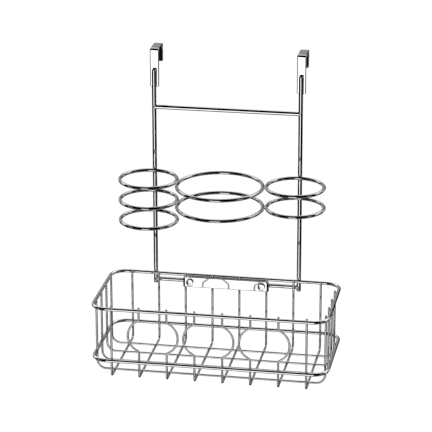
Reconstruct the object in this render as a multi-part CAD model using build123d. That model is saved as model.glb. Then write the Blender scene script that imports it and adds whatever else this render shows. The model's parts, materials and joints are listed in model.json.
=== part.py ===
from build123d import *
import math
import os

# Over-the-door hair dryer and styling tool holder in chrome-plated steel wire.
# Two strip hooks drop over the top edge of a door. Two uprights hang from them and carry
# three columns of horizontal rings. A wire basket is clamped to the lower crossbar.
# Frame: origin on the door's top edge, in the plane of the door's front face, midway between
# the two hooks. +X to the right as seen by the user, +Y back into the door, +Z up. Millimetres.

os.makedirs("parts", exist_ok=True)

# ---------------------------------------------------------------- driving dimensions
WELD = 0.1            # set-down of every resistance weld
PI2 = 2 * math.pi

# hooks
HOOK_X = 82.1         # centre of each hook and upright, either side of the middle
STRIP_W = 10.2        # strip width
STRIP_T = 2.0         # strip thickness
HOOK_GAP = 21.5       # clear gap between the two legs
FRONT_LEG_Z = -42.4   # lower end of the front leg
BACK_LEG_Z = -19.1    # lower end of the back leg
HOOK_R = 2.5          # bend radius of the strip, outer face
HOOK_R_IN = 0.3       # bend radius of the strip, inner face
ROLL_OUT = 1.15        # rolled edge of the strip, outer face
ROLL_IN = 0.3         # rolled edge of the strip, face toward the door
PAD_W = 9.0           # foam pad on the back leg
PAD_T = 2.5
PAD_TOP = -2.9        # the pad stops below the bend

# frame wires
UPR_R = 2.5           # uprights and both crossbars, 5 mm wire
UPR_TOP = -21.1
UPR_BOTTOM = -273.4
UPR_Y = -(STRIP_T + UPR_R - WELD)
CROSSBAR_Z = -64.3
LOWER_Z = -268.5      # lower crossbar

# rings
RING_R = 2.0          # 4 mm wire
RING_Z = (-137.3, -160.9, -184.5)
SIDE_RING_R = 31.6    # centre-line radius of the side rings
SIDE_RING_Y = UPR_Y - UPR_R + WELD - RING_R - SIDE_RING_R
DRYER_RING_Y = SIDE_RING_Y - 11.0
DRYER_RING_R = math.hypot(HOOK_X, 11.0) - SIDE_RING_R - 2 * RING_R + WELD

# basket
RAIL_R = 2.0          # 4 mm rails
WIRE_R = 1.25         # 2.5 mm cross and long wires
BASKET_W = 260.8      # between rail centre-lines
RAIL_BACK_Y = UPR_Y - UPR_R - 0.2 - RAIL_R
BASKET_D = 118.4
RAIL_FRONT_Y = RAIL_BACK_Y - BASKET_D
RAIL_CORNER = 16.6
TOP_RAIL_Z = -259.9
MID_RAIL_Z = -320.9
TIP_Z = TOP_RAIL_Z + 3.0       # wire tips stand a little above the top rail
FLOOR_Z = -339.5               # centre-line of the cross wires on the floor
INSET = RAIL_R + WIRE_R - WELD
FRONT_Y = RAIL_FRONT_Y + INSET
REAR_Y = RAIL_BACK_Y - INSET
SIDE_X = BASKET_W / 2 - INSET
CROSS_PITCH = 30.9
FOOT_BEND = 2.6                # tight front bend of a cross wire
REAR_BEND = 4.5
LONG_PITCH = 24.8
LONG_Z = FLOOR_Z + 2 * WIRE_R - WELD
LONG_BEND = 10.0

# bows on the front, where neighbouring cross wires swell apart into round windows
BOW_Z = -290.9
BOW_RISE = 12.4
BOW_R = 19.3
BOW_CORNER = 3.0

# clamp between the basket and the lower crossbar
PLATE_Z = -266.9      # middle of the plate, the strap and the screws
PLATE_T = 1.5
PLATE_H = 12.0
PLATE_TOP_ROLL = 0.6  # rolled front edges of the plate
PLATE_LOW_ROLL = 1.3
CURL_DROP = 1.2       # the curled ends start lower than the plate, below the top rail
PLATE_CLEAR = 0.05
STRAP_T = 4.0         # thick enough to be tapped for the screws
STRAP_H = 9.6
STRAP_HALF = 44.8
SCREW_X = 41.0
SCREW_R = 2.0
HEAD_R = 4.3
HEAD_H = 2.5
HEAD_CROWN = 0.25
HEAD_EDGE = 0.9       # rounded edge of the head


def save(shape, name):
    shape.label = name
    export_step(shape, f"parts/{name}.step")


def rod(p0, p1, r, round_start=0.0, round_end=0.0):
    """Straight round wire from p0 to p1, with its end edges rounded."""
    a, b = Vector(*p0), Vector(*p1)
    d = b - a
    body = extrude(Plane(origin=a, z_dir=d) * Circle(r), amount=d.length)
    for point, size in ((a, round_start), (b, round_end)):
        if size:
            body = fillet([e for e in body.edges().filter_by(GeomType.CIRCLE) if (e.arc_center - point).length < 1e-4], size)
    return body


def swept(edges, start, direction, r, tip=0.0):
    """Round wire swept along joined edges. tip rounds both of its ends."""
    path = Wire(edges)
    body = sweep(Plane(origin=start, z_dir=direction) * Circle(r), path=path)
    if tip:
        ends = [path @ 0, path @ 1]
        rims = [e for e in body.edges().filter_by(GeomType.CIRCLE)
                if any((e.arc_center - p).length < 1e-3 for p in ends) and abs(e.radius - r) < 1e-3]
        body = fillet(rims, tip)
    return body


# ---------------------------------------------------------------- hooks and pads
def hook(x):
    back = HOOK_GAP + STRIP_T
    outline = Polyline(
        (-STRIP_T, FRONT_LEG_Z), (-STRIP_T, STRIP_T), (back, STRIP_T), (back, BACK_LEG_Z),
        (HOOK_GAP, BACK_LEG_Z), (HOOK_GAP, 0), (0, 0), (0, FRONT_LEG_Z), close=True,
    )
    face = make_face(outline)
    outer = [v for v in face.vertices() if v.Y > STRIP_T - 0.01]
    face = fillet(outer, HOOK_R)
    inner = [v for v in face.vertices() if abs(v.Y) < 0.01]
    face = fillet(inner, HOOK_R_IN)
    body = extrude(Plane.YZ * face, amount=STRIP_W / 2, both=True)
    # rounded lower corners of both legs
    corners = [e for e in body.edges().filter_by(Axis.Y)
               if abs(e.center().Z - FRONT_LEG_Z) < 0.01 or abs(e.center().Z - BACK_LEG_Z) < 0.01]
    body = fillet(corners, 1.6)
    # rolled edges of the strip: full on the outer face, light on the face toward the door
    def rims(outer):
        found = []
        for e in body.edges():
            box = e.bounding_box()
            if box.size.X > 1e-4 or abs(abs(e.center().X) - STRIP_W / 2) > 1e-4:
                continue
            y, z = e.center().Y, e.center().Z
            outside = y < -STRIP_T + 0.01 or y > back - 0.01 or z > STRIP_T - 0.01
            if e.geom_type == GeomType.CIRCLE and z > -5:
                outside = e.radius > 1.0
            if outside == outer and e.length > 0.3:
                found.append(e)
        return found

    body = fillet(rims(True), ROLL_OUT)
    body = fillet(rims(False), ROLL_IN)
    return Pos(x, 0, 0) * body


def hook_pad(x):
    bottom = BACK_LEG_Z + 0.2
    body = Box(PAD_W, PAD_T, PAD_TOP - bottom)
    body = fillet(body.edges().filter_by(Axis.Y), 1.2)
    body = fillet(body.faces().sort_by(Axis.Y)[0].edges(), 0.5)
    return Pos(x, HOOK_GAP - PAD_T / 2, (bottom + PAD_TOP) / 2) * body


for side, x in (("left", -HOOK_X), ("right", HOOK_X)):
    save(hook(x), f"{side}_hook")
    save(hook_pad(x), f"{side}_hook_pad")
    save(rod((x, UPR_Y, UPR_BOTTOM), (x, UPR_Y, UPR_TOP), UPR_R, 0.9, 0.9), f"{side}_upright")


# ---------------------------------------------------------------- crossbars, coped to the uprights
def between_uprights(y, z, r):
    reach = HOOK_X - 1.0 if abs(y - UPR_Y) < 1.0 else HOOK_X - 0.2
    bar = rod((-reach, y, z), (reach, y, z), r)
    for s in (-1, 1):
        bar -= Pos(s * HOOK_X, UPR_Y, z) * Cylinder(UPR_R - WELD, 12)
    return max(bar.solids(), key=lambda s: s.volume)


save(between_uprights(UPR_Y, CROSSBAR_Z, UPR_R), "upper_crossbar")

STRAP_FRONT = REAR_Y + WIRE_R + 0.02
STRAP_BACK = STRAP_FRONT + STRAP_T
LOWER_Y = STRAP_BACK + UPR_R - WELD
save(between_uprights(LOWER_Y, LOWER_Z, UPR_R), "lower_crossbar")

# ---------------------------------------------------------------- rings
for name, z in zip(("upper", "lower"), RING_Z):
    save(Pos(0, DRYER_RING_Y, z) * Torus(DRYER_RING_R, RING_R), f"dryer_ring_{name}")
    save(Pos(HOOK_X, SIDE_RING_Y, z) * Torus(SIDE_RING_R, RING_R), f"brush_ring_{name}")
for name, z in zip(("upper", "middle", "lower"), RING_Z):
    save(Pos(-HOOK_X, SIDE_RING_Y, z) * Torus(SIDE_RING_R, RING_R), f"iron_ring_{name}")


# ---------------------------------------------------------------- basket rails
def rail(z):
    w, d, c = BASKET_W / 2, BASKET_D / 2, RAIL_CORNER
    y = (RAIL_FRONT_Y + RAIL_BACK_Y) / 2
    edges = []
    k = c * (1 - math.sqrt(0.5))
    edges.append(Line((-w + c, y + d, z), (w - c, y + d, z)))
    edges.append(ThreePointArc((w - c, y + d, z), (w - k, y + d - k, z), (w, y + d - c, z)))
    edges.append(Line((w, y + d - c, z), (w, y - d + c, z)))
    edges.append(ThreePointArc((w, y - d + c, z), (w - k, y - d + k, z), (w - c, y - d, z)))
    edges.append(Line((w - c, y - d, z), (-w + c, y - d, z)))
    edges.append(ThreePointArc((-w + c, y - d, z), (-w + k, y - d + k, z), (-w, y - d + c, z)))
    edges.append(Line((-w, y - d + c, z), (-w, y + d - c, z)))
    edges.append(ThreePointArc((-w, y + d - c, z), (-w + k, y + d - k, z), (-w + c, y + d, z)))
    pieces = [sweep(Plane(origin=e @ 0, z_dir=e % 0) * Circle(RAIL_R), path=e) for e in edges]
    body = pieces[0]
    for p in pieces[1:]:
        body += p
    return body


save(rail(TOP_RAIL_Z), "basket_top_rail")
save(rail(MID_RAIL_Z), "basket_mid_rail")


# ---------------------------------------------------------------- cross wires, front to back
def bow_edges(x, y, side):
    """Front vertical with one bow to side (+1 right, -1 left), from above the bow to below it."""
    uc = BOW_RISE - BOW_R
    reach = math.sqrt((BOW_R + BOW_CORNER) ** 2 - (BOW_CORNER - uc) ** 2)

    def at(u, v):
        return (x + side * u, y, BOW_Z + v)

    edges, ends = [], []
    for s in (1, -1):
        fc = (BOW_CORNER, s * reach)
        k = BOW_CORNER / (BOW_R + BOW_CORNER)
        touch = (fc[0] + k * (uc - fc[0]), fc[1] + k * (0 - fc[1]))
        a0 = math.atan2(0, -1)
        a1 = math.atan2(touch[1] - fc[1], touch[0] - fc[0])
        if s > 0 and a1 < 0:
            a1 += PI2
        if s < 0:
            a0 = -math.pi if a1 < 0 else math.pi
        am = (a0 + a1) / 2
        mid = (fc[0] + BOW_CORNER * math.cos(am), fc[1] + BOW_CORNER * math.sin(am))
        ends.append((at(0, s * reach), at(*mid), at(*touch)))
    top, bottom = ends
    edges.append(ThreePointArc(*top))
    edges.append(ThreePointArc(top[2], at(BOW_RISE, 0), bottom[2]))
    edges.append(ThreePointArc(bottom[2], bottom[1], bottom[0]))
    return edges, top[0], bottom[0]


def corner_arc(p_in, corner, p_out, r):
    """Arc of radius r that rounds the right-angled corner between p_in and p_out."""
    c = Vector(*corner)
    d0 = (Vector(*p_in) - c).normalized()
    d1 = (Vector(*p_out) - c).normalized()
    a, b = c + d0 * r, c + d1 * r
    m = c + (d0 + d1) * (r * (1 - math.sqrt(0.5)))
    return ThreePointArc(a, m, b), a, b


def cross_wire(x, side):
    start = (x, FRONT_Y, TIP_Z)
    foot = (x, FRONT_Y, FLOOR_Z)
    heel = (x, REAR_Y, FLOOR_Z)
    end = (x, REAR_Y, TIP_Z)
    foot_arc, fa, fb = corner_arc(start, foot, heel, FOOT_BEND)
    heel_arc, ha, hb = corner_arc(foot, heel, end, REAR_BEND)
    edges = []
    if side:
        bow, top, bottom = bow_edges(x, FRONT_Y, side)
        edges += [Line(start, top), *bow, Line(bottom, fa)]
    else:
        edges += [Line(start, fa)]
    edges += [foot_arc, Line(fb, ha), heel_arc, Line(hb, end)]
    return swept(edges, start, (0, 0, -1), WIRE_R, 0.8)


# wires 2 and 3, 4 and 5, 6 and 7 bow apart
BOWS = (0, -1, 1, -1, 1, -1, 1, 0)
for i, side in enumerate(BOWS):
    save(cross_wire((i - 3.5) * CROSS_PITCH, side), f"cross_wire_{i + 1}")


# ---------------------------------------------------------------- long wires, side to side, laid inside the cross wires
def long_wire(y):
    start, end = (-SIDE_X, y, TIP_Z), (SIDE_X, y, TIP_Z)
    c0, c1 = (-SIDE_X, y, LONG_Z), (SIDE_X, y, LONG_Z)
    arc0, a0, b0 = corner_arc(start, c0, c1, LONG_BEND)
    arc1, a1, b1 = corner_arc(c0, c1, end, LONG_BEND)
    edges = [Line(start, a0), arc0, Line(b0, a1), arc1, Line(b1, end)]
    return swept(edges, start, (0, 0, -1), WIRE_R, 0.8)


for k in range(4):
    save(long_wire(REAR_Y - (4 - k) * LONG_PITCH), f"long_wire_{k + 1}")

# ---------------------------------------------------------------- clamp: plate in front, strap behind, two screws
curl_x = 1.5 * CROSS_PITCH
inner_r = WIRE_R + PLATE_CLEAR
outer_r = inner_r + PLATE_T
front_y = REAR_Y - outer_r
plate = Pos(0, front_y + PLATE_T / 2, PLATE_Z) * Box(2 * curl_x, PLATE_T, PLATE_H)
front_long = [e for e in plate.edges().filter_by(Axis.X) if abs(e.center().Y - front_y) < 1e-6]
plate = fillet([e for e in front_long if e.center().Z > PLATE_Z], PLATE_TOP_ROLL)
front_low = [e for e in plate.edges().filter_by(Axis.X)
             if abs(e.center().Y - front_y) < 1e-6 and abs(e.center().Z - (PLATE_Z - PLATE_H / 2)) < 1e-6]
plate = fillet(front_low, PLATE_LOW_ROLL)
curl_h = PLATE_H - CURL_DROP
curl = Cylinder(outer_r, curl_h)
curl = fillet(curl.edges().filter_by(GeomType.CIRCLE), 0.5) - Cylinder(inner_r, curl_h)
for s in (-1, 1):
    half = curl & (Pos(s * 5, 0, 0) * Box(10, 10, curl_h))
    plate += Pos(s * curl_x, REAR_Y, PLATE_Z - CURL_DROP / 2) * half
for s in (-1, 1):
    plate -= Pos(s * SCREW_X, REAR_Y, PLATE_Z) * Rot(90, 0, 0) * Cylinder(SCREW_R + 0.15, 12)
save(plate, "clamp_plate")

strap = Pos(0, (STRAP_FRONT + STRAP_BACK) / 2, PLATE_Z) * Box(2 * STRAP_HALF, STRAP_T, STRAP_H)
strap = fillet(strap.edges().filter_by(Axis.Y), 1.5)
for s in (-1, 1):
    strap -= Pos(s * SCREW_X, REAR_Y, PLATE_Z) * Rot(90, 0, 0) * Cylinder(SCREW_R, 12)
save(strap, "rear_strap")


def clamp_screw(x):
    """Pan-head screw along Y with a cross recess. Its tip stops short of the lower crossbar."""
    head_y = front_y
    tip_y = LOWER_Y - UPR_R - 0.12
    length = tip_y - head_y
    side = -(HEAD_H - HEAD_EDGE - HEAD_CROWN)
    top = -(HEAD_H - HEAD_CROWN)
    k = HEAD_EDGE * (1 - math.sqrt(0.5))
    profile = make_face(
        Polyline((0, length), (SCREW_R - 0.4, length), (SCREW_R, length - 0.4), (SCREW_R, 0), (HEAD_R, 0), (HEAD_R, side))
        + ThreePointArc((HEAD_R, side), (HEAD_R - k, top + k), (HEAD_R - HEAD_EDGE, top))
        + ThreePointArc((HEAD_R - HEAD_EDGE, top), ((HEAD_R - HEAD_EDGE) / 2, top - 0.75 * HEAD_CROWN), (0, -HEAD_H))
        + Line((0, -HEAD_H), (0, length))
    )
    body = revolve(profile, Axis.Y)
    for a in (0, 90):
        body -= Pos(0, -HEAD_H + 0.45, 0) * Rot(0, a + 20, 0) * Box(2.9, 1.4, 0.7)
    return Pos(x, head_y, PLATE_Z) * body


save(Compound(children=[clamp_screw(-SCREW_X), clamp_screw(SCREW_X)]), "clamp_screws")
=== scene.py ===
import bpy
import bmesh
import json
import math
import random
from mathutils import Matrix, Vector


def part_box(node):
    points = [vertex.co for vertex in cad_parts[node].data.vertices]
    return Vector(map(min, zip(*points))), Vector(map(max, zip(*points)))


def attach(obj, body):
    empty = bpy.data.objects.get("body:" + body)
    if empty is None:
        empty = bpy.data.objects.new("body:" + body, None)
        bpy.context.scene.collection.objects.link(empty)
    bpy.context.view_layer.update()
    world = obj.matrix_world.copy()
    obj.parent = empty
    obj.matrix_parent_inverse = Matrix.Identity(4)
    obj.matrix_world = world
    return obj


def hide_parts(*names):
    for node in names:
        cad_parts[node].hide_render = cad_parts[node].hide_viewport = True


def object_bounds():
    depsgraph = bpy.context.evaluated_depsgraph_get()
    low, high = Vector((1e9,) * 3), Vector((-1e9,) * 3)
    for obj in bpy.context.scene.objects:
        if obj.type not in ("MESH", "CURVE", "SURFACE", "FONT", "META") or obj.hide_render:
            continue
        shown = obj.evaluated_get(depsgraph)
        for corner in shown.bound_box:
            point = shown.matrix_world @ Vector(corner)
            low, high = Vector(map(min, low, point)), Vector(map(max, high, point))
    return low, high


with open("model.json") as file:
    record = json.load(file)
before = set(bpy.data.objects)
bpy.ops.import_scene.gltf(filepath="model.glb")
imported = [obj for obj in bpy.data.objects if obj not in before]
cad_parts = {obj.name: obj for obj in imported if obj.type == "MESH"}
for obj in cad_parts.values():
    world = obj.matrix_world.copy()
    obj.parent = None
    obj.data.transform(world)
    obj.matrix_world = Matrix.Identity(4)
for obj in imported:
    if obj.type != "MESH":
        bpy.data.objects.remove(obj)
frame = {"nodes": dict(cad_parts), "record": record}
nodes = frame["nodes"]
at_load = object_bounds()
scene = bpy.context.scene
random.seed(11)

# =====================================================================================
# camera: position and angles from the fit of the photograph's own perspective
# =====================================================================================
CAM = Vector((0.42588, -2.44631, 0.70196))
YAW, PITCH, ROLL = (math.radians(a) for a in (10.1813, -19.7576, -0.0959))
fwd = Vector((-math.sin(YAW) * math.cos(PITCH), math.cos(YAW) * math.cos(PITCH), math.sin(PITCH)))
right = Vector((math.cos(YAW), math.sin(YAW), 0))
up = right.cross(fwd)
R = math.cos(ROLL) * right + math.sin(ROLL) * up
U = -math.sin(ROLL) * right + math.cos(ROLL) * up
camera = bpy.data.objects.new("camera", bpy.data.cameras.new("camera"))
scene.collection.objects.link(camera)
camera.matrix_world = Matrix((
    (R.x, U.x, -fwd.x, CAM.x),
    (R.y, U.y, -fwd.y, CAM.y),
    (R.z, U.z, -fwd.z, CAM.z),
    (0, 0, 0, 1),
))
camera.data.sensor_fit = "HORIZONTAL"
camera.data.sensor_width = 36.0
camera.data.lens = 2345.94 / 432 * 36.0
camera.data.clip_start = 0.05
camera.data.clip_end = 60
scene.camera = camera
scene.view_settings.view_transform = "Standard"


# =====================================================================================
# small helper for node trees
# =====================================================================================
class Tree:
    def __init__(self, tree):
        self.t = tree
        tree.nodes.clear()

    def node(self, kind, **settings):
        n = self.t.nodes.new(kind)
        for k, v in settings.items():
            setattr(n, k, v)
        return n

    def put(self, socket, value):
        if hasattr(value, "is_output"):
            self.t.links.new(value, socket)
        else:
            socket.default_value = value

    def math(self, op, *values, clamp=False):
        n = self.node("ShaderNodeMath", operation=op)
        n.use_clamp = clamp
        for s, v in zip(n.inputs, values):
            self.put(s, v)
        return n.outputs[0]

    def smooth(self, x, a, b, lo=0.0, hi=1.0):
        """lo below a, hi above b, with a smooth turn between them."""
        n = self.node("ShaderNodeMapRange", interpolation_type="SMOOTHSTEP")
        n.clamp = True
        for s, v in zip(n.inputs, (x, a, b, lo, hi)):
            self.put(s, v)
        return n.outputs[0]

    def band(self, x, a, b, soft):
        return self.math("MULTIPLY", self.smooth(x, a - soft, a + soft), self.smooth(x, b - soft, b + soft, 1.0, 0.0))

    def noise(self, vector, scale, detail=2.0, rough=0.5, distortion=0.0):
        n = self.node("ShaderNodeTexNoise")
        self.put(n.inputs["Vector"], vector)
        n.inputs["Scale"].default_value = scale
        n.inputs["Detail"].default_value = detail
        n.inputs["Roughness"].default_value = rough
        n.inputs["Distortion"].default_value = distortion
        return n.outputs["Fac"]


# =====================================================================================
# studio: an all-round white tent with dark flags, so that plated wire has something to mirror
# =====================================================================================
world = bpy.data.worlds.new("studio")
scene.world = world
world.use_nodes = True
w = Tree(world.node_tree)
coord = w.node("ShaderNodeTexCoord")
xyz = w.node("ShaderNodeSeparateXYZ")
w.put(xyz.inputs[0], coord.outputs["Generated"])
X, Y, Z = xyz.outputs
# azimuth in degrees from straight in front of the holder (-Y), positive to the viewer's right
az = w.math("DEGREES", w.math("ARCTAN2", X, w.math("MULTIPLY", Y, -1.0)))
el = w.math("DEGREES", w.math("ARCSINE", Z))
# turn in the YZ plane from the front over the top to the back, 0 to 180 degrees, negative below
over = w.math("DEGREES", w.math("ARCTAN2", Z, w.math("MULTIPLY", Y, -1.0)))


def panel(base, mask, value):
    """base outside the mask, value inside it."""
    n = w.node("ShaderNodeMix", data_type="FLOAT")
    w.put(n.inputs["Factor"], mask)
    w.put(n.inputs["A"], base)
    n.inputs["B"].default_value = value
    return n.outputs["Result"]


def patch(turn, a, b, soft_a, e0, e1, soft_e):
    return w.math("MULTIPLY", w.band(turn, a, b, soft_a), w.band(el, e0, e1, soft_e))


lum = 0.20                                                          # the table under the holder
lum = panel(lum, w.band(over, 105, 182, 4), 1.1)                     # softbox overhead and behind
lum = panel(lum, patch(over, 147, 190, 6, 6, 34, 5), 0.30)          # its lower edge, behind the holder
lum = panel(lum, w.band(over, -6, 101, 3), 0.0)                      # unlit room above and behind the camera
lum = panel(lum, patch(az, 14, 132, 2, -44, 10, 5), 0.0)            # black flag on the right
lum = panel(lum, patch(az, 155, 177, 3, -44, 16, 3), 0.0)           # and its far end, taller
lum = panel(lum, patch(az, -128, -19, 2, -44, 12, 5), 0.0)          # black flag on the left
lum = panel(lum, patch(az, 133, 153, 3, -50, 22, 4), 0.5)          # strip light behind on the right
behind = w.math("MAXIMUM", w.smooth(az, -131, -125, 1.0, 0.0), w.smooth(az, 174, 180))
lum = panel(lum, w.math("MULTIPLY", behind, w.band(el, -52, -5, 4)), 0.0)    # dark floor line far behind
lum = panel(lum, patch(az, -153, -131, 3, -50, 22, 4), 0.5)        # strip light behind on the left
for middle in (-98, -62, 62, 98):                                   # two side lights each side, above the flags' dark part
    lum = panel(lum, patch(az, middle - 9, middle + 9, 3, -13.5, 6, 1.5), 0.55)
beyond = w.math("MAXIMUM", w.smooth(az, -173, -169, 1.0, 0.0), w.smooth(az, 169, 173))
lum = panel(lum, w.math("MULTIPLY", beyond, w.band(el, -17, -2, 2)), 0.75)   # small light straight behind
lum = panel(lum, patch(az, -17, 10, 2, -44, -6, 2), 1.6)            # lit table in front
gain = lum
path = w.node("ShaderNodeLightPath")
level = w.node("ShaderNodeMix", data_type="FLOAT")
w.put(level.inputs["Factor"], path.outputs["Is Camera Ray"])
w.put(level.inputs["A"], gain)
level.inputs["B"].default_value = 1.05
back = w.node("ShaderNodeBackground")
back.inputs["Color"].default_value = (1.0, 1.0, 1.0, 1.0)
w.put(back.inputs["Strength"], level.outputs["Result"])
out = w.node("ShaderNodeOutputWorld")
w.put(out.inputs["Surface"], back.outputs[0])


def area(name, place, aim, width, depth, power, glossy):
    light = bpy.data.lights.new(name, "AREA")
    light.shape = "RECTANGLE"
    light.size, light.size_y = width, depth
    light.energy = power
    o = bpy.data.objects.new(name, light)
    scene.collection.objects.link(o)
    o.location = place
    o.rotation_euler = (Vector(aim) - Vector(place)).to_track_quat("-Z", "Y").to_euler()
    o.visible_camera = False
    o.visible_glossy = glossy
    return o


area("top_soft", (0.0, 0.2, 2.4), (0, 0.4, -1.0), 5.0, 5.0, 260, False)
area("left_soft", (-1.7, -1.5, 0.9), (0, -0.03, -0.15), 1.2, 1.2, 16, False)

# =====================================================================================
# materials
# =====================================================================================


def chrome(name, tint, rough, grain=0.010, smudge=0.5, scale=1.0):
    """Nickel-chrome plate: fine plating ripple in the bump, patches of faint haze and water marks in the roughness."""
    mat = bpy.data.materials.new(name)
    mat.use_nodes = True
    t = Tree(mat.node_tree)
    obj = t.node("ShaderNodeTexCoord").outputs["Object"]
    bsdf = t.node("ShaderNodeBsdfPrincipled")
    bsdf.inputs["Metallic"].default_value = 1.0
    # colour: a trace of warm and cool drift in the plate
    drift = t.noise(obj, 38 * scale, 3)
    ramp = t.node("ShaderNodeValToRGB")
    ramp.color_ramp.elements[0].position = 0.3
    ramp.color_ramp.elements[1].position = 0.72
    ramp.color_ramp.elements[0].color = (tint[0] * 0.965, tint[1] * 0.97, tint[2] * 0.985, 1)
    ramp.color_ramp.elements[1].color = (tint[0], tint[1], tint[2], 1)
    t.put(ramp.inputs[0], drift)
    t.put(bsdf.inputs["Base Color"], ramp.outputs[0])
    # roughness: haze patches and fine dust specks
    haze = t.smooth(t.noise(obj, 120 * scale, 4, 0.6, 0.4), 0.52, 0.78)
    speck = t.smooth(t.noise(obj, 2600, 1), 0.70, 0.80)
    r = t.math("ADD", rough, t.math("MULTIPLY", haze, 0.055 * smudge))
    r = t.math("ADD", r, t.math("MULTIPLY", speck, 0.10 * smudge), clamp=True)
    t.put(bsdf.inputs["Roughness"], r)
    # bump: drawn-wire ripple under the plate
    ripple = t.math("ADD", t.noise(obj, 420 * scale, 3, 0.55), t.math("MULTIPLY", t.noise(obj, 1700, 2), 0.25))
    bump = t.node("ShaderNodeBump")
    bump.inputs["Strength"].default_value = 0.35
    bump.inputs["Distance"].default_value = grain * 0.001
    t.put(bump.inputs["Height"], ripple)
    t.put(bsdf.inputs["Normal"], bump.outputs[0])
    o = t.node("ShaderNodeOutputMaterial")
    t.put(o.inputs["Surface"], bsdf.outputs[0])
    return mat


def foam(name):
    mat = bpy.data.materials.new(name)
    mat.use_nodes = True
    t = Tree(mat.node_tree)
    obj = t.node("ShaderNodeTexCoord").outputs["Object"]
    bsdf = t.node("ShaderNodeBsdfPrincipled")
    cells = t.node("ShaderNodeTexVoronoi", feature="F1")
    cells.inputs["Scale"].default_value = 2300
    t.put(cells.inputs["Vector"], obj)
    shade = t.math("MULTIPLY", t.math("ADD", cells.outputs["Distance"], t.noise(obj, 260, 3)), 0.6, clamp=True)
    ramp = t.node("ShaderNodeValToRGB")
    ramp.color_ramp.elements[0].color = (0.0015, 0.0015, 0.0016, 1)
    ramp.color_ramp.elements[1].color = (0.008, 0.0078, 0.0084, 1)
    t.put(ramp.inputs[0], shade)
    t.put(bsdf.inputs["Base Color"], ramp.outputs[0])
    bsdf.inputs["Specular IOR Level"].default_value = 0.22
    t.put(bsdf.inputs["Roughness"], t.math("ADD", 0.76, t.math("MULTIPLY", cells.outputs["Distance"], 0.25), clamp=True))
    bump = t.node("ShaderNodeBump")
    bump.inputs["Strength"].default_value = 0.6
    bump.inputs["Distance"].default_value = 0.00012
    t.put(bump.inputs["Height"], cells.outputs["Distance"])
    t.put(bsdf.inputs["Normal"], bump.outputs[0])
    o = t.node("ShaderNodeOutputMaterial")
    t.put(o.inputs["Surface"], bsdf.outputs[0])
    return mat


PLATE = (0.88, 0.885, 0.895)
mats = {
    "chrome_strip": chrome("chrome_strip", PLATE, 0.05, 0.012),
    "chrome_frame": chrome("chrome_frame", PLATE, 0.045, 0.003, 0.25),
    "chrome_ring": chrome("chrome_ring", (0.68, 0.685, 0.695), 0.04, 0.010),
    "chrome_rail": chrome("chrome_rail", PLATE, 0.045, 0.010),
    "chrome_wire": chrome("chrome_wire", PLATE, 0.055, 0.012),
    "chrome_plate": chrome("chrome_plate", PLATE, 0.05, 0.014),
    "screw": chrome("screw", (0.84, 0.845, 0.85), 0.09, 0.016, 0.8),
    "pad": foam("pad"),
}
slot_of = {s["node"]: s["material_slot"] for s in frame["record"]["subparts"]}
for name, o in nodes.items():
    m = mats[slot_of[name]]
    if not o.material_slots:
        o.data.materials.append(m)
    for s in o.material_slots:
        s.material = m

# =====================================================================================
# helpers for new pieces
# =====================================================================================
def piece_from(name, verts, faces, material):
    mesh = bpy.data.meshes.new(name)
    mesh.from_pydata([tuple(v) for v in verts], [], faces)
    bm = bmesh.new()
    bm.from_mesh(mesh)
    bmesh.ops.recalc_face_normals(bm, faces=bm.faces)
    bm.to_mesh(mesh)
    bm.free()
    mesh.polygons.foreach_set("use_smooth", [True] * len(mesh.polygons))
    mesh.update()
    o = bpy.data.objects.new(name, mesh)
    scene.collection.objects.link(o)
    mesh.materials.append(material)
    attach(o, "root")
    return o


def box(name):
    lo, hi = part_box(name)
    return Vector(lo), Vector(hi)


# =====================================================================================
# foam pads: die-cut closed-cell foam stuck inside the hooks' back legs
# =====================================================================================
def foam_pad(node):
    """Crowned block of foam inside the pad's own box: a flat glued back, a swollen front and soft edges."""
    lo, hi = box(node)
    mid, half = (lo + hi) / 2, (hi - lo) / 2
    rng = random.Random(node)
    phase = [rng.uniform(0, math.tau) for _ in range(6)]
    nx, nz, ny = 28, 44, 8
    verts, faces, index = [], [], {}

    def point(i, j, k):
        key = (i, j, k)
        if key in index:
            return index[key]
        u, v, d = 2 * i / nx - 1, 2 * j / nz - 1, k / ny         # d is 0 at the glued back, 1 at the front
        # superellipse outline in the plane of the pad, a little smaller in front
        p = 5.0
        m = (abs(u) ** p + abs(v) ** p) ** (1 / p)
        big = max(abs(u), abs(v))
        shrink = big / m if m > 1e-9 else 1.0
        side = 1.0 - 0.055 * max(0.0, d - 0.55) / 0.45 - 0.02 * math.sin(math.pi * d)
        wave = 0.006 * math.sin(7 * v + phase[0]) * abs(u) + 0.004 * math.sin(17 * v + phase[1] + 3 * d)
        x = mid.x + half.x * 0.985 * u * shrink * (side + wave * 0.5)
        z = mid.z + half.z * 0.985 * v * shrink * (side + 0.004 * math.sin(11 * u + phase[2]))
        crown = (1 - abs(u) ** 3.5) * (1 - abs(v) ** 6)
        depth = 2 * half.y * (0.86 + 0.12 * crown + 0.010 * math.sin(5 * v + phase[3]) * math.cos(4 * u + phase[4]))
        y = hi.y - depth * d
        index[key] = len(verts)
        verts.append(Vector((x, y, z)))
        return index[key]

    for k, rev in ((0, False), (ny, True)):
        for i in range(nx):
            for j in range(nz):
                f = (point(i, j, k), point(i + 1, j, k), point(i + 1, j + 1, k), point(i, j + 1, k))
                faces.append(f[::-1] if rev else f)
    rim = [(i, 0) for i in range(nx)] + [(nx, j) for j in range(nz)] + [(i, nz) for i in range(nx, 0, -1)] + [(0, j) for j in range(nz, 0, -1)]
    for a, b in zip(rim, rim[1:] + rim[:1]):
        for k in range(ny):
            faces.append((point(*a, k), point(*b, k), point(*b, k + 1), point(*a, k + 1)))
    o = piece_from(node.replace("hook_pad", "foam_pad"), verts, faces, mats["pad"])
    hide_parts(node)
    return o


for node in ("left_hook_pad", "right_hook_pad"):
    foam_pad(node)


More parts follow.
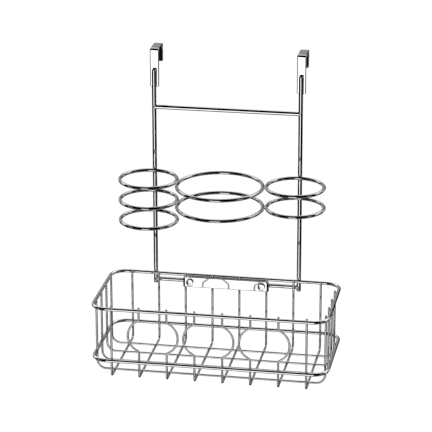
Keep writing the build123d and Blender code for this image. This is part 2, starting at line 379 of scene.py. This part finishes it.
# =====================================================================================
# welds: a small fillet of metal wherever two wires meet
# =====================================================================================
MM = 0.001


class Beads:
    def __init__(self):
        self.verts, self.faces = [], []

    def grid(self, rings, closed_ends=True):
        """Closed skin over rings of points, all of one length, with a cap at each end."""
        base, n = len(self.verts), len(rings[0])
        for ring in rings:
            self.verts += ring
        for i in range(len(rings) - 1):
            for j in range(n):
                a, b = base + i * n + j, base + i * n + (j + 1) % n
                self.faces.append((a, b, b + n, a + n))
        for i in (0, len(rings) - 1):
            c = len(self.verts)
            ring = rings[i]
            self.verts.append(sum(ring, Vector()) / n)
            for j in range(n):
                a, b = base + i * n + j, base + i * n + (j + 1) % n
                self.faces.append((a, b, c) if i else (b, a, c))

    def crossing(self, at, normal, dir1, r1, dir2, r2, reach=1.0, bend1=0.0, bend2=0.0, longest=2.6, seed=0):
        """Saddle-shaped nugget between wire 1 (behind, below normal) and wire 2 (ahead along normal), touching at the point at."""
        n = Vector(normal).normalized()
        e1 = Vector(dir1).normalized()
        e2 = n.cross(e1)
        d2 = Vector(dir2).normalized()
        t2 = math.atan2(d2.dot(e2), d2.dot(e1))
        rng = random.Random(seed)
        wob = [rng.uniform(0.9, 1.12) for _ in range(6)]
        steps, rows = 24, 7

        def heights(rho, th):
            u1, u2 = rho * abs(math.sin(th)), rho * abs(math.sin(th - t2))
            h1 = -(r1 - math.sqrt(max(r1 * r1 - u1 * u1, 0.0))) - bend1 * (rho * math.cos(th)) ** 2
            h2 = (r2 - math.sqrt(max(r2 * r2 - u2 * u2, 0.0))) + bend2 * (rho * math.cos(th - t2)) ** 2
            return h1, h2

        goal = 0.42 * min(r1, r2) * reach
        rings = [[] for _ in range(rows + 2)]
        for k in range(steps):
            th = math.tau * k / steps
            lo_r, hi_r = 0.0, longest * MM
            limit = 0.93 * min(r1 / max(abs(math.sin(th)), 1e-3), r2 / max(abs(math.sin(th - t2)), 1e-3), longest * MM)
            hi_r = limit
            for _ in range(24):
                m = (lo_r + hi_r) / 2
                h1, h2 = heights(m, th)
                if h2 - h1 < goal:
                    lo_r = m
                else:
                    hi_r = m
            w_ = lo_r * (1 + 0.06 * (wob[k % 6] - 1) * 5)
            w_ = min(w_, limit)
            flare = min(0.26 * MM * reach, max(limit - w_, 0.0) + 0.02 * MM)
            ray = e1 * math.cos(th) + e2 * math.sin(th)
            for row in range(rows):
                s_ = 2 * row / (rows - 1) - 1
                rho = w_ - 0.10 * MM + (flare + 0.10 * MM) * s_ * s_
                h1, h2 = heights(rho, th)
                h = h1 + (h2 - h1) * (s_ + 1) / 2
                rings[row + 1].append(Vector(at) + ray * rho + n * h)
            for row, rho, sgn in ((0, w_ * 0.55, -1), (rows + 1, w_ * 0.55, 1)):
                h1, h2 = heights(rho, th)
                h = (h1 if sgn < 0 else h2) + sgn * 0.16 * MM
                rings[row].append(Vector(at) + ray * rho + n * h)
        self.grid(rings)

    def tee(self, centre, axis, r_bar, r_post, post, size, seed=0):
        """Ring of weld where a bar of radius r_bar butts into a vertical post."""
        rng = random.Random(seed)
        phase = rng.uniform(0, math.tau)
        side = 1 if axis > 0 else -1
        steps, cross = 40, 10
        path, outs = [], []
        for k in range(steps):
            a = math.tau * k / steps
            y, z = r_bar * math.sin(a), r_bar * math.cos(a)
            x = post.x - side * math.sqrt(max(r_post ** 2 - (centre.y + y - post.y) ** 2, 0.0))
            path.append(Vector((x, centre.y + y, centre.z + z)))
            outs.append(Vector((-side * 0.5, math.sin(a), math.cos(a))).normalized())
        rings = []
        for k in range(steps):
            tangent = (path[(k + 1) % steps] - path[k - 1]).normalized()
            o_ = (outs[k] - tangent * outs[k].dot(tangent)).normalized()
            b_ = tangent.cross(o_)
            r = size * MM * (1 + 0.10 * math.sin(5 * math.tau * k / steps + phase) + 0.05 * math.sin(11 * math.tau * k / steps))
            c = path[k] + o_ * 0.05 * MM
            rings.append([c + (o_ * math.cos(b) + b_ * math.sin(b)) * r for b in (math.tau * j / cross for j in range(cross))])
        base = len(self.verts)
        for ring in rings:
            self.verts += ring
        for i in range(steps):
            for j in range(cross):
                a, b = base + i * cross + j, base + i * cross + (j + 1) % cross
                c, d = base + ((i + 1) % steps) * cross + (j + 1) % cross, base + ((i + 1) % steps) * cross + j
                self.faces.append((a, b, c, d))

    def seam(self, start, end, out, flat, size, seed=0):
        """Tapered run of weld in the corner between a round bar and a flat. out points away from the corner, flat lies in the flat."""
        rng = random.Random(seed)
        phase = rng.uniform(0, math.tau)
        a, b = Vector(start), Vector(end)
        along = (b - a).normalized()
        o_, f_ = Vector(out), Vector(flat)
        steps = 22
        rings = []
        for k in range(steps + 1):
            t = k / steps
            grow = math.sin(math.pi * min(max(t, 0.02), 0.98)) ** 0.35
            r = size * MM * grow * (1 + 0.07 * math.sin(9 * math.tau * t + phase))
            c = a + (b - a) * t
            ring = []
            for u, v in ((-0.35, -0.25), (1.0, -0.25), (1.0, 0.02), (0.62, 0.22), (0.36, 0.50), (0.16, 0.86), (-0.12, 1.0), (-0.35, 0.9)):
                ring.append(c + f_ * u * r + o_ * v * r)
            rings.append(ring)
        self.grid(rings)

    def build(self, name, material):
        return piece_from(name, self.verts, self.faces, material)


RAILS = {n: box(n) for n in ("basket_top_rail", "basket_mid_rail")}
r_rail = (RAILS["basket_top_rail"][1].z - RAILS["basket_top_rail"][0].z) / 2
CROSS = [box(f"cross_wire_{i}") for i in range(1, 9)]
LONG = [box(f"long_wire_{i}") for i in range(1, 5)]
r_wire = (LONG[0][1].y - LONG[0][0].y) / 2
bows = (0, -1, 1, -1, 1, -1, 1, 0)
front_y, rear_y = CROSS[0][0].y + r_wire, CROSS[0][1].y - r_wire
floor_z, long_z = CROSS[0][0].z + r_wire, LONG[0][0].z + r_wire
side_x = LONG[0][1].x - r_wire
wire_x = []
for (lo, hi), bow in zip(CROSS, bows):
    wire_x.append((lo.x + hi.x) / 2 if bow == 0 else (hi.x - r_wire if bow < 0 else lo.x + r_wire))
AX, AY, AZ = Vector((1, 0, 0)), Vector((0, 1, 0)), Vector((0, 0, 1))

basket = Beads()
count = 0
for lo, hi in RAILS.values():
    z = (lo.z + hi.z) / 2
    for x in wire_x:
        count += 2
        basket.crossing((x, lo.y + 2 * r_rail - 0.05 * MM, z), AY, AX, r_rail, AZ, r_wire, seed=count)
        basket.crossing((x, hi.y - 2 * r_rail + 0.05 * MM, z), -AY, AX, r_rail, AZ, r_wire, seed=count + 1)
    for a, b in LONG:
        y = (a.y + b.y) / 2
        count += 2
        basket.crossing((hi.x - 2 * r_rail + 0.05 * MM, y, z), -AX, AY, r_rail, AZ, r_wire, seed=count)
        basket.crossing((lo.x + 2 * r_rail - 0.05 * MM, y, z), AX, AY, r_rail, AZ, r_wire, seed=count + 1)
for x in wire_x:
    for a, b in LONG:
        count += 1
        basket.crossing((x, (a.y + b.y) / 2, (floor_z + long_z) / 2), AZ, AY, r_wire, AX, r_wire, reach=0.8, seed=count)
basket.build("weld_beads_basket", mats["chrome_wire"])

ring_names = ("dryer_ring_upper", "dryer_ring_lower", "brush_ring_upper", "brush_ring_lower",
              "iron_ring_upper", "iron_ring_middle", "iron_ring_lower")
RINGS = {n: box(n) for n in ring_names}
r_ring = (RINGS["dryer_ring_upper"][1].z - RINGS["dryer_ring_upper"][0].z) / 2
posts = {s: box(f"{s}_upright") for s in ("left", "right")}
r_post = (posts["left"][1].x - posts["left"][0].x) / 2
rings = Beads()
for name, (lo, hi) in RINGS.items():
    mid = (lo + hi) / 2
    if name.startswith("dryer"):
        continue
    big = (hi.x - lo.x) / 2 - r_ring
    post = posts["right" if mid.x > 0 else "left"]
    count += 1
    rings.crossing((mid.x, hi.y - 0.05 * MM, mid.z), AY, AX, r_ring, AZ, r_post, reach=1.1, bend1=0.5 / big, seed=count)
    level = [n for n in ("dryer_ring_upper", "dryer_ring_lower") if abs((RINGS[n][0].z + RINGS[n][1].z) / 2 - mid.z) < MM]
    if level:
        dlo, dhi = RINGS[level[0]]
        dmid = (dlo + dhi) / 2
        dbig = (dhi.x - dlo.x) / 2 - r_ring
        n = (mid - dmid).normalized()
        at = dmid + n * (dbig + r_ring - 0.05 * MM)
        t = n.cross(AZ)
        count += 1
        rings.crossing(at, n, t, r_ring, t, r_ring, reach=0.9, bend1=0.5 / dbig, bend2=0.5 / big, longest=5.5, seed=count)
rings.build("weld_beads_rings", mats["chrome_ring"])

frame_beads = Beads()
for bar in ("upper_crossbar", "lower_crossbar"):
    lo, hi = box(bar)
    mid = (lo + hi) / 2
    for side in ("left", "right"):
        p = (posts[side][0] + posts[side][1]) / 2
        count += 1
        frame_beads.tee(mid, 1 if side == "right" else -1, (hi.z - lo.z) / 2, r_post, p, 0.5, seed=count)
for side in ("left", "right"):
    lo, hi = posts[side]
    p = (lo + hi) / 2
    hlo, hhi = box(f"{side}_hook")
    face = hi.y - 0.1 * MM                    # the strip's front face
    for s in (-1, 1):
        for z0, z1 in ((hi.z - 2.2 * MM, hi.z - 8.6 * MM), (hlo.z + 7.6 * MM, hlo.z + 1.6 * MM)):
            count += 1
            frame_beads.seam((p.x + s * 1.05 * MM, face, z0), (p.x + s * 1.05 * MM, face, z1), (0, -1, 0), (s, 0, 0), 0.85, seed=count)
slo, shi = box("rear_strap")
blo, bhi = box("lower_crossbar")
bz = (blo.z + bhi.z) / 2
for s in (-1, 1):
    for x0, x1 in ((-36, -26), (-5, 5), (26, 36)):
        count += 1
        frame_beads.seam((x0 * MM, shi.y, bz + s * 1.05 * MM), (x1 * MM, shi.y, bz + s * 1.05 * MM), (0, 1, 0), (0, 0, s), 0.85, seed=count)
frame_beads.build("weld_beads_frame", mats["chrome_frame"])

# =====================================================================================
# floor
# =====================================================================================
FLOOR_Z = at_load[0][2] - 0.62
mesh = bpy.data.meshes.new("floor")
rim = [(9 * math.cos(a), 9 * math.sin(a), FLOOR_Z) for a in (i * math.tau / 96 for i in range(96))]
mesh.from_pydata(rim, [], [tuple(range(96))])
floor = bpy.data.objects.new("floor", mesh)
scene.collection.objects.link(floor)
fm = bpy.data.materials.new("floor")
fm.use_nodes = True
t = Tree(fm.node_tree)
fe = t.node("ShaderNodeEmission")                                    # opal table lit from below: even white to its far edge
fe.inputs["Color"].default_value = (1, 1, 1, 1)
fe.inputs["Strength"].default_value = 1.05
fo = t.node("ShaderNodeOutputMaterial")
t.put(fo.inputs["Surface"], fe.outputs[0])
mesh.materials.append(fm)
floor.visible_glossy = False

# thin black card just under the front feet, seen only in their reflections: painted shade standing in for the contact
# shadow of a surface under the feet, which the feet mirror as a dark painted reflection
fy = CROSS[0][0].y + r_wire
fz = CROSS[0][0].z - 1.6 * MM
mesh = bpy.data.meshes.new("foot_contact_shadow_card")
mesh.from_pydata([(-0.13, fy - 3.2 * MM, fz), (0.13, fy - 3.2 * MM, fz), (0.13, fy + 4.5 * MM, fz), (-0.13, fy + 4.5 * MM, fz)], [], [(0, 1, 2, 3)])
flag = bpy.data.objects.new("foot_contact_shadow_card", mesh)
scene.collection.objects.link(flag)
bm_ = bpy.data.materials.new("foot_contact_shadow_card")
bm_.use_nodes = True
t = Tree(bm_.node_tree)
bd = t.node("ShaderNodeBsdfDiffuse")
# pure black: the painted contact shadow that the feet and the long wires' undersides mirror
bd.inputs["Color"].default_value = (0, 0, 0, 1)
t.put(t.node("ShaderNodeOutputMaterial").inputs["Surface"], bd.outputs[0])
mesh.materials.append(bm_)
flag.visible_camera = flag.visible_diffuse = flag.visible_shadow = False
